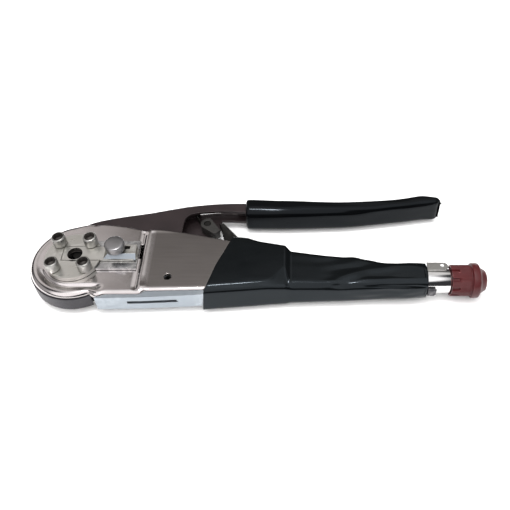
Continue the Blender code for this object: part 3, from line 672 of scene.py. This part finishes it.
def make_channel():
    """Folded channel; inside the sleeve it narrows, clear of the soft skin's folds."""
    channel = refine("frame_channel", "frame", "zinc", "zinc", 0.5)
    low_side = [(75.2, -40.0), (75.2, -19.9), (86.0, -18.4), (120.0, -15.8), (150.0, -14.2),
                (200.0, -12.6), (200.0, -40.0)]
    boolean(channel, "low_side", low_side, -20.0, 5.0)
    top_side = [(98.0, 20.0), (100.0, 8.4), (120.0, 4.0), (150.0, -3.4), (200.0, -7.6),
                (200.0, 20.0)]
    boolean(channel, "top_side", top_side, -20.0, 5.0)
    front = [(98.0, -40.0), (200.0, -40.0), (200.0, 20.0), (98.0, 20.0)]
    boolean(channel, "front_side", front, -3.3, 5.0)
    side_slot = [(33.2, -30.0), (60.4, -30.0), (60.4, -19.0), (33.2, -19.0)]
    boolean(channel, "side_slot", side_slot, -7.1, -5.0)
    inner = [(74.0, -21.2), (84.0, -20.3), (120.0, -17.2), (150.0, -15.8), (185.8, -14.2),
             (185.8, -12.6), (150.0, -14.0), (120.0, -15.4), (84.0, -18.4), (74.0, -19.2)]
    boolean(channel, "inner_wall", inner, -11.2, -3.9, "UNION")


def make_body():
    make_channel()
    refine("ratchet_plate", "frame", "blackened_steel", "dark", 0.12)
    for index in (1, 2):
        refine("plate_rivet_%d" % index, "frame", "blackened_steel", "dark", 0.3)
    refine("detent_spring", "frame", "nickel", "screw", 0.15)
    refine("tail_clip", "frame", "blackened_steel", "black", 0.4)
    refine("stop_block", "depth_stop", "bright_steel", "steel", 0.4)


def tail_ring(bm, along, radius, segments, shape=None):
    """Vertices round the tail's axis; shape(along, angle, radius) may change the radius."""
    ring = []
    for i in range(segments):
        a = 2 * math.pi * i / segments
        r = shape(along, a, radius) if shape else radius
        ring.append(bm.verts.new((along, TAIL_Y + r * math.cos(a), TAIL_Z + r * math.sin(a))))
    return ring


def make_tail_tube():
    low, high = node_span("tail_tube", 0)
    low += 4.0
    inner = TUBE_R - 1.4
    stations = [(low, TUBE_R), (high - 0.4, TUBE_R), (high - 0.12, TUBE_R - 0.1),
                (high, TUBE_R - 0.35), (high, inner + 0.3), (high - 0.3, inner), (low, inner)]
    bm = bmesh.new()
    rings = [tail_ring(bm, along, radius, 96) for along, radius in stations]
    for lower, upper in zip(rings, rings[1:] + rings[:1]):
        bridge(bm, lower, upper)
    show("chrome_tail_tube", bm, "frame", "chrome", "chrome", "tail_tube")


def make_knob():
    """Ribbed knob with a notched front edge, a flange and a cone, and its metal cap."""
    low, high = node_span("adjuster_knob", 0)
    body_r = 8.5
    flange_r = 9.5
    notch_end = low + 4.3
    bore_r = TUBE_R + 0.5

    def shape(along, angle, radius):
        r = radius
        if radius > 8.2 and along < low + 10.6:
            r -= 0.17 * (0.5 + 0.5 * math.cos(angle * 72))
            off = (math.degrees(angle) % 36.0) - 18.0
            if along < notch_end:
                depth = min(1.0, (notch_end - along) / 0.4)
                wide = 6.5 - 2.5 * max(0.0, along - low - 2.6) / 1.7
                r -= 1.25 * depth * float(smooth_step(-abs(off), -wide - 1.2, -wide))
        return r

    stations = [(low, bore_r + 0.05), (low, body_r - 0.3), (low + 0.3, body_r)]
    count = 26
    for i in range(1, count + 1):
        stations.append((low + 0.3 + 9.6 * i / count, body_r))
    stations += [(low + 10.2, body_r - 0.25), (low + 10.6, body_r - 0.25),
                 (low + 10.8, flange_r - 0.5), (low + 11.1, flange_r - 0.1),
                 (low + 11.5, flange_r), (low + 14.0, flange_r), (low + 14.5, flange_r - 0.2),
                 (low + 14.9, flange_r - 0.7), (low + 15.1, flange_r - 1.6),
                 (low + 15.9, 7.1), (low + 17.3, 6.2), (low + 18.5, 5.5),
                 (high - 0.2, 5.1), (high, 4.7), (high, 3.4)]
    bm = bmesh.new()
    rings = [tail_ring(bm, along, radius, 360, shape) for along, radius in stations]
    inner = [(high - 0.2, 3.3), (low + 5.0, 3.3), (low + 5.0, bore_r), (low + 0.2, bore_r)]
    rings += [tail_ring(bm, along, radius, 360) for along, radius in inner]
    for lower, upper in zip(rings, rings[1:] + rings[:1]):
        bridge(bm, lower, upper)
    show("red_adjuster_knob", bm, "adjuster", "red_plastic", "red", "adjuster_knob", smooth=35.0)
    low, high = node_span("knob_cap", 0)
    stations = [(low, 4.2), (low + 0.2, 4.4), (low + 0.5, 4.35), (low + 0.9, 4.0),
                (high - 0.1, 3.4), (high, 3.0), (high, 1.7), (high - 0.5, 1.5)]
    bm = bmesh.new()
    turned(bm, stations, (0, TAIL_Y, TAIL_Z), (1, 0, 0), 64)
    show("steel_knob_cap", bm, "adjuster", "chrome", "screw", "knob_cap")


def make_spindle():
    """Adjuster spindle with its thread."""
    low, high = node_span("adjuster_spindle", 0)
    pitch = 1.0
    thread_end = low + 38.0
    stations = [(low, 1.9), (low + 0.5, 2.25)]
    steps = int((thread_end - low - 1.0) / pitch * 4)
    for i in range(steps):
        along = low + 0.6 + i * pitch / 4
        stations.append((along, 1.96 + 0.28 * (0.5 + 0.5 * math.cos(i * math.pi / 2))))
    stations += [(thread_end + 0.6, 2.1), (thread_end + 1.5, 2.95), (high - 0.3, 2.95),
                 (high, 2.7)]
    bm = bmesh.new()
    turned(bm, stations, (0, TAIL_Y, TAIL_Z), (1, 0, 0), 40)
    show("threaded_spindle", bm, "adjuster", "bright_steel", "steel", "adjuster_spindle")


def make_opening_spring():
    """Coil spring of round wire, in its rest shape, with a mesh of its own."""
    low, high = node_span("opening_spring", 1)
    cx, _, cz = node_centre("opening_spring")
    wire = 0.45
    radius = 2.6
    turns = 9
    bm = bmesh.new()
    steps = turns * 28
    rings = []
    for i in range(steps + 1):
        a = 2 * math.pi * turns * i / steps
        share = i / steps
        rise = smooth_end(share, 1.0 / turns)
        along = low + wire + (high - low - 2 * wire) * rise
        centre = Vector((cx + radius * math.cos(a), along, cz + radius * math.sin(a)))
        out = Vector((math.cos(a), 0, math.sin(a)))
        up = Vector((0, 1, 0))
        rings.append([bm.verts.new(centre + wire * (out * math.cos(b) + up * math.sin(b)))
                      for b in [2 * math.pi * k / 10 for k in range(10)]])
    for lower, upper in zip(rings, rings[1:]):
        bridge(bm, lower, upper)
    bm.faces.new(list(reversed(rings[0])))
    bm.faces.new(rings[-1])
    spring = show("coiled_opening_spring", bm, "frame", "bright_steel", "steel", "opening_spring")
    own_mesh(spring)


def smooth_end(share, closed):
    """Share of the length, with the first and the last turn closed up."""
    low = 0.25 * closed
    if share < closed:
        return low * share / closed
    if share > 1 - closed:
        return 1 - low * (1 - share) / closed
    return low + (1 - 2 * low) * (share - closed) / (1 - 2 * closed)


# ---------------------------------------------------------------- lever

def lever_top():
    return [(2.0, 27.7), (5.4, 29.3), (9.2, 30.7), (16.5, 32.6), (24.0, 34.2), (31.6, 35.6),
            (39.4, 37.0), (50.0, 39.6), (59.6, 41.7), (64.8, 42.6), (70.0, 43.2), (75.0, 43.8),
            (80.0, 44.1), (87.0, 44.3), (94.0, 44.3), (97.5, 43.9), (120.0, 42.6),
            (150.0, 40.9), (172.0, 41.7), (190.0, 43.6), (195.0, 44.3)]


def lever_low():
    return [(195.0, 41.8), (190.0, 41.0), (172.0, 38.4), (150.0, 36.2), (120.0, 35.4),
            (107.0, 36.1), (94.0, 37.2), (87.0, 37.8), (80.0, 38.0), (75.0, 37.7),
            (70.0, 37.2), (66.8, 36.8), (64.5, 36.2), (62.8, 35.6), (61.5, 34.7),
            (60.4, 33.3), (59.6, 31.5), (59.2, 29.0), (59.0, 26.0), (58.6, 16.0),
            (40.0, 14.5), (24.4, 14.2)]


def make_lever():
    """Folded lever: rounded long edges, open towards the head and below the arch."""
    left = arc(HEAD_X, HEAD_Y - 0.3, 26.7, 32, 88, 22)
    bm = bmesh.new()
    slab(bm, lever_top() + lever_low() + left, MID_BOTTOM, MID_TOP)
    lever = show("folded_lever", bm, "handle_lever", "painted_steel", "brown", "moving_lever",
                 bevel=0.9, segments=4)
    lobe = [(58.0, 17.0), (66.0, 19.0), (70.4, 20.6), (74.0, 22.6), (76.6, 24.2), (78.4, 26.0),
            (79.5, 27.9), (80.0, 30.0), (80.6, 39.0), (58.0, 39.0)]
    boolean(lever, "lobe", lobe, MID_BOTTOM, MID_BOTTOM + SHEET, "UNION")
    roof = [(x, y - SHEET) for x, y in lever_top()[2:-1]]
    pocket = roof + [(193.0, 42.4), (193.0, 20.0), (140.0, 10.0), (20.0, 5.0), (9.4, 20.0)]
    boolean(lever, "pocket", pocket, MID_BOTTOM + SHEET, MID_TOP - SHEET)
    window = [(67.0, 38.0), (90.0, 38.0), (90.0, 48.0), (67.0, 48.0)]
    boolean(lever, "window", window, -9.4, -4.1)
    for index in (1, 2):
        refine("lever_rivet_%d" % index, "handle_lever", "painted_steel", "brown", 0.3)
    refine("pawl_pin", "handle_lever", "bright_steel", "dark", 0.3)
    refine("pawl_spring", "handle_lever", "bright_steel", "dark", 0.08)
    refine("pawl", "ratchet_pawl", "bright_steel", "pawl", 0.45)


# ---------------------------------------------------------------- grips

def rounded_section(corners, radii, arc_steps, side_steps):
    """A closed polygon with round corners, as an even list of points."""
    count = len(corners)
    arcs = []
    for i in range(count):
        here = Vector(corners[i])
        before = (Vector(corners[i - 1]) - here).normalized()
        after = (Vector(corners[(i + 1) % count]) - here).normalized()
        half = before.angle(after) / 2
        cut = radii[i] / math.tan(half)
        centre = here + (before + after).normalized() * radii[i] / math.sin(half)
        start = here + before * cut - centre
        end = here + after * cut - centre
        points = []
        for k in range(arc_steps + 1):
            points.append(centre + start.slerp(end, k / arc_steps).normalized() * radii[i])
        arcs.append(points)
    result = []
    for i in range(count):
        result += arcs[i]
        gap_start = arcs[i][-1]
        gap_end = arcs[(i + 1) % count][0]
        for k in range(1, side_steps):
            result.append(gap_start.lerp(gap_end, k / side_steps))
    return result


def between(table, x):
    """Value at x of a smooth curve through (x, value) pairs."""
    xs = [row[0] for row in table]
    ys = [row[1] for row in table]
    if x <= xs[0]:
        return ys[0]
    if x >= xs[-1]:
        return ys[-1]
    i = max(k for k in range(len(xs)) if xs[k] <= x)
    slopes = []
    for k in (i, i + 1):
        lo = max(0, k - 1)
        hi = min(len(xs) - 1, k + 1)
        slopes.append((ys[hi] - ys[lo]) / (xs[hi] - xs[lo]))
    h = xs[i + 1] - xs[i]
    t = (x - xs[i]) / h
    return (ys[i] * (1 + 2 * t) * (1 - t) ** 2 + slopes[0] * h * t * (1 - t) ** 2
            + ys[i + 1] * t * t * (3 - 2 * t) + slopes[1] * h * t * t * (t - 1))


def lower_grip_section(x):
    """Corners (y, z) and radii of the sleeve at a place along the lower handle."""
    step = float(smooth_step(x, 118.4, 122.6))
    top = between([(73, 16.4), (90, 15.6), (98, 14.2), (110, 11.7), (119, 9.9)], x)
    top_rear = between([(119, 7.4), (124, 6.5), (150, 2.5), (157, 2.2), (165, 0.1),
                        (175, -1.8), (190, -2.0), (196, -2.4)], x)
    top = top * (1 - step) + top_rear * step
    low = between([(73, -26.3), (100, -24.1), (120, -22.5), (150, -21.3), (170, -20.2),
                   (184, -20.0), (196, -18.9)], x)
    lean = between([(73, 4.6), (108, 4.6), (120, 4.4), (150, 2.6), (170, 1.4), (196, 0.8)], x)
    front = GRIP_FRONT - 1.5 * step * (1 - float(smooth_step(x, 140.0, 184.0)))
    back = GRIP_BACK + 0.6 * step
    corner = float(smooth_step(x, 105.0, 120.5)) * (1 - step)
    edge = low + 0.72 * lean
    drop = between([(73, 1.9), (118, 1.9), (150, 2.6), (196, 3.6)], x)
    corners = [(edge + 2.6 + 0.28 * lean + 10.0 * corner ** 2, front), (top, front), (top, back),
               (low, back), (edge, front - drop)]
    radii = [between([(73, 3.6), (124, 3.6), (160, 4.6), (196, 5.6)], x),
             between([(73, 2.4), (120, 2.4), (150, 3.2), (196, 5.0)], x),
             between([(73, 2.4), (150, 3.2), (196, 5.0)], x),
             between([(73, 2.4), (150, 3.4), (196, 5.4)], x), 3.2]
    return corners, radii


def lower_grip_front_end(y):
    """Where the sleeve's curved mouth lies, for a height across the handle."""
    return between([(-26.5, 73.9), (-20.6, 76.2), (-13.0, 78.5), (-5.0, 80.9), (3.0, 84.2),
                    (13.0, 88.2), (16.5, 90.0)], y)


def lower_grip_folds(x, y, z):
    """How far the soft sleeve stands in or out of its plain form, towards +Z and outward."""
    loose = float(smooth_step(x, 130.0, 160.0))
    facing = float(smooth_step(z, -6.0, -1.0))
    rise = -18.2 + 10.0 * float(smooth_step(x, 134.0, 166.0))
    ridge = math.exp(-((y - rise) / 2.1) ** 2) * float(smooth_step(x, 132.0, 152.0))
    ridge *= 1 - 0.75 * float(smooth_step(x, 160.0, 178.0))
    hollow = math.exp(-((y - rise + 3.6) / 2.5) ** 2) * float(smooth_step(x, 132.0, 160.0))
    hollow *= 1 - 0.8 * float(smooth_step(x, 168.0, 186.0))
    crease = 0.0
    for centre, depth in ((-13.6, 0.2), (-15.9, 0.24), (-18.4, 0.42)):
        crease -= depth * math.exp(-((y - centre) / 0.55) ** 2)
    crease *= float(smooth_step(x, 156.0, 172.0))
    ripple = noise.noise(Vector((x * 0.045, y * 0.21, z * 0.16)))
    ripple += 0.4 * noise.noise(Vector((x * 0.12, y * 0.5, z * 0.4 + 7)))
    fold = facing * (0.42 * ridge - 0.55 * hollow + crease)
    return fold + loose * 0.42 * ripple + 0.05 * ripple


def sleeve(stations, section, front_end, folds, arc_steps, side_steps):
    """Loft a sleeve along the handle; returns its bmesh and its rings of vertices."""
    bm = bmesh.new()
    rings = []
    for x in stations:
        corners, radii = section(x)
        points = rounded_section(corners, radii, arc_steps, side_steps)
        middle = sum(points, Vector((0, 0))) / len(points)
        ring = []
        for i, point in enumerate(points):
            tangent = (points[(i + 1) % len(points)] - points[i - 1]).normalized()
            normal = Vector((tangent.y, -tangent.x))
            if normal.dot(point - middle) < 0:
                normal.negate()
            at = front_end(x, point.x)
            moved = point + normal * folds(at, point.x, point.y)
            ring.append(bm.verts.new((at, moved.x, moved.y)))
        rings.append(ring)
    for lower, upper in zip(rings, rings[1:]):
        bridge(bm, lower, upper)
    return bm, rings


def wall(piece, thickness, edge):
    """Give an open skin its thickness, inwards, with rounded mouth edges."""
    skin = piece.modifiers.new("wall", "SOLIDIFY")
    skin.thickness = thickness * MM
    skin.offset = -1.0
    rounding = piece.modifiers.new("mouth", "BEVEL")
    rounding.width = edge * MM
    rounding.segments = 3
    rounding.limit_method = "ANGLE"
    rounding.angle_limit = math.radians(60)


def make_lower_grip():
    start, end = 74.0, 195.0
    blend_end = 104.0
    stations = list(np.arange(start, 118.0, 1.6)) + list(np.arange(118.0, 124.0, 0.5))
    stations += list(np.arange(124.0, end - 0.5, 1.3)) + [end - 0.4, end]

    def at(x, y):
        if x >= blend_end:
            return x
        share = (x - start) / (blend_end - start)
        mouth = lower_grip_front_end(y)
        return mouth + (blend_end - mouth) * share

    bm, rings = sleeve(stations, lower_grip_section, at, lower_grip_folds, 8, 10)
    # the tail end closes to the tube
    last = rings[-1]
    for radius, along in ((TUBE_R + 1.2, 0.35), (TUBE_R + 0.25, 0.25), (TUBE_R + 0.15, -1.2)):
        ring = []
        for vert in last:
            direction = Vector((vert.co.y - TAIL_Y, vert.co.z - TAIL_Z)).normalized()
            ring.append(bm.verts.new((end + along, TAIL_Y + direction.x * radius,
                                      TAIL_Z + direction.y * radius)))
        bridge(bm, rings[-1], ring)
        rings.append(ring)
    grip = show("lower_vinyl_sleeve", bm, "frame", "black_vinyl", "vinyl", "lower_grip",
                smooth=60.0)
    wall(grip, 1.7, 0.5)


def upper_grip_section(x):
    top = between([(95, 45.9), (98, 46.2), (120, 45.2), (150, 43.6), (170, 44.2), (180, 45.0),
                   (190, 46.4), (199.4, 48.2), (204.0, 47.2), (208.4, 46.0), (211, 45.0)], x)
    low = between([(95, 33.4), (97, 33.0), (120, 32.5), (150, 33.3), (160, 34.1),
                   (170, 35.4), (180, 36.9), (190, 38.4), (200, 40.1), (211, 41.7)], x)
    lean = between([(95, 2.0), (150, 1.6), (190, 0.6), (211, 0.3)], x)
    height = top - low
    round_low = min(4.6, height * 0.42)
    round_high = min(2.6, height * 0.3)
    corners = [(low + lean, GRIP_FRONT), (top, GRIP_FRONT), (top, GRIP_BACK), (low, GRIP_BACK)]
    return corners, [round_low, round_high, round_high, min(3.4, height * 0.4)]


def upper_grip_folds(x, y, z):
    ripple = noise.noise(Vector((x * 0.05, y * 0.25, z * 0.18 + 30)))
    facing = float(smooth_step(z, -4.0, 0.5))
    line = math.exp(-((y - 36.1 + 0.01 * (x - 120)) / 0.95) ** 2) * facing
    line *= 1 - float(smooth_step(x, 165.0, 185.0))
    return 0.2 * ripple - 0.26 * line


def make_upper_grip():
    start, end = 95.4, 210.0
    inset = [(0.0, 1.1), (0.25, 0.55), (0.6, 0.22), (1.2, 0.0)]
    stations = [start + step for step, _ in inset]
    stations += list(np.arange(start + 2.4, end - 3.2, 1.4))
    closing = [(end - 2.6, 0.0), (end - 1.6, 0.25), (end - 0.9, 0.6), (end - 0.35, 1.15),
               (end - 0.05, 2.0)]
    stations += [x for x, _ in closing]
    shrink = {round(start + step, 3): amount for step, amount in inset}
    shrink.update({round(x, 3): amount for x, amount in closing})

    def section(x):
        corners, radii = upper_grip_section(x)
        amount = shrink.get(round(x, 3), 0.0)
        (yl, zf), (yh, _), (_, zb), _ = corners
        low = corners[3][0]
        corners = [(yl + amount, zf - amount), (yh - amount, zf - amount),
                   (yh - amount, zb + amount), (low + amount, zb + amount)]
        return corners, [max(0.6, r - amount * 0.5) for r in radii]

    def at(x, y):
        # the end is cut square to the handle, which leans a little
        lean = 0.12 * (y - 43.0) * float(smooth_step(x, 196.0, end))
        return x + lean

    bm, rings = sleeve(stations, section, at, upper_grip_folds, 8, 8)
    bm.faces.new(rings[-1])
    grip = show("upper_vinyl_sleeve", bm, "handle_lever", "black_vinyl", "upper_vinyl",
                "upper_grip", smooth=60.0)
    wall(grip, 1.6, 0.3)


# ---------------------------------------------------------------- stage

def make_floor():
    bm = bmesh.new()
    size = 3.0
    corners = ((-1, -1), (1, -1), (1, 1), (-1, 1))
    bm.faces.new([bm.verts.new((x * size, y * size, 0.0)) for x, y in corners])
    floor = mesh_object("floor", bm)
    material, tree, shader = new_material("pale_floor")
    tone = noise_value(tree, object_coords(tree), 3.0)
    link(tree, ramp(tree, tone, [(0.3, (0.88, 0.88, 0.88)), (0.7, (0.9, 0.9, 0.9))]),
         shader.inputs["Base Color"])
    shader.inputs["Roughness"].default_value = 0.9
    shader.inputs["Specular IOR Level"].default_value = 0.1
    floor.data.materials.append(material)
    floor.location.z = -0.0004


def area_light(name, location, target, size, power, reflected):
    lamp = bpy.data.lights.new(name, "AREA")
    lamp.shape = "RECTANGLE"
    lamp.size, lamp.size_y = size
    lamp.energy = power
    lamp.color = (1.0, 0.995, 0.985)
    light = add_object(name, lamp)
    light.location = location
    direction = Vector(target) - Vector(location)
    light.rotation_euler = direction.to_track_quat("-Z", "Y").to_euler()
    light.visible_glossy = reflected


def toward(azimuth, elevation):
    """Unit vector; azimuth 0 is straight behind the tool, positive to the right."""
    a = math.radians(azimuth)
    e = math.radians(elevation)
    return (math.sin(a) * math.cos(e), math.cos(a) * math.cos(e), math.sin(e))


# Soft boxes and windows of the studio: direction, full and zero angle, brightness
SKY_LOBES = [
    (toward(0, 78), 15, 29, (1.2, 1.19, 1.2)),
    (toward(180, 66), 22, 36, (1.6, 1.58, 1.6)),
    (toward(-44, 42), 9, 19, (0.72, 0.69, 0.68)),
    (toward(30, 58), 9, 20, (0.86, 0.84, 0.83)),
    (toward(-146, 46), 20, 36, (1.35, 1.32, 1.33)),
    (toward(100, 30), 14, 30, (0.70, 0.72, 0.74)),
    (toward(-95, 25), 12, 28, (0.42, 0.41, 0.41)),
]


def make_world():
    """Studio surroundings that the metal reflects: soft boxes in a dim room."""
    world = bpy.data.worlds.new("studio")
    bpy.context.scene.world = world
    world.use_nodes = True
    tree = world.node_tree
    background = tree.nodes["Background"]
    coords = tree.nodes.new("ShaderNodeTexCoord").outputs["Generated"]
    axes = tree.nodes.new("ShaderNodeSeparateXYZ")
    link(tree, coords, axes.inputs["Vector"])
    behind = span(tree, axes.outputs["Y"], 0.2, 0.6, 0.0, 1.0)
    raised = span(tree, axes.outputs["Z"], 0.35, 0.7, 0.0, 1.0)
    sky = mix(tree, product(tree, behind, raised), (0.045, 0.044, 0.048), (0.20, 0.187, 0.178))
    for direction, inner, outer, colour in SKY_LOBES:
        facing = tree.nodes.new("ShaderNodeVectorMath")
        facing.operation = "DOT_PRODUCT"
        facing.inputs[1].default_value = direction
        link(tree, coords, facing.inputs[0])
        edge = math.cos(math.radians(outer))
        core = math.cos(math.radians(inner))
        lobe = span(tree, facing.outputs["Value"], edge, core, 0.0, 1.0, "SMOOTHSTEP")
        sky = mix(tree, lobe, sky, colour)
    link(tree, sky, background.inputs["Color"])
    background.inputs["Strength"].default_value = 1.0


def make_camera():
    """A 45 mm lens above the front of the tool, rolled a little."""
    distance = 0.357
    azimuth = math.radians(5.5)
    elevation = math.radians(50.1)
    roll = math.radians(-4.4)
    back = Vector((math.sin(azimuth) * math.cos(elevation),
                   -math.cos(azimuth) * math.cos(elevation), math.sin(elevation)))
    level = Vector((math.cos(azimuth), math.sin(azimuth), 0.0))
    upright = back.cross(level)
    right = level * math.cos(roll) + upright * math.sin(roll)
    up = upright * math.cos(roll) - level * math.sin(roll)
    data = bpy.data.cameras.new("camera")
    data.sensor_width = 36.0
    data.lens = 45.18
    data.clip_start = 0.01
    camera = add_object("camera", data)
    rows = [(right[i], up[i], back[i], 0.0) for i in range(3)] + [(0.0, 0.0, 0.0, 1.0)]
    target = TOOL @ Vector((102.2, 2.65, 0.0))
    camera.matrix_world = Matrix.Translation(target + back * distance) @ Matrix(rows)
    bpy.context.scene.camera = camera


def make_stage():
    make_floor()
    make_world()
    area_light("overhead_fill", (0.0, 0.05, 0.9), (0, 0, 0), (1.6, 1.6), 17.0, False)
    area_light("front_fill", (0.0, -0.9, 0.6), (0, 0, 0), (1.6, 0.8), 5.0, False)
    lamp = TOOL @ Vector((39.0, -57.0, 700.0))
    area_light("ceiling_lamp", lamp, (lamp.x, lamp.y, 0), (0.11, 0.055), 1.5, True)
    make_camera()
    bpy.context.scene.view_settings.view_transform = "Standard"


make_stage()
make_head()
make_body()
make_tail_tube()
make_knob()
make_spindle()
make_opening_spring()
make_lever()
make_lower_grip()
make_upper_grip()
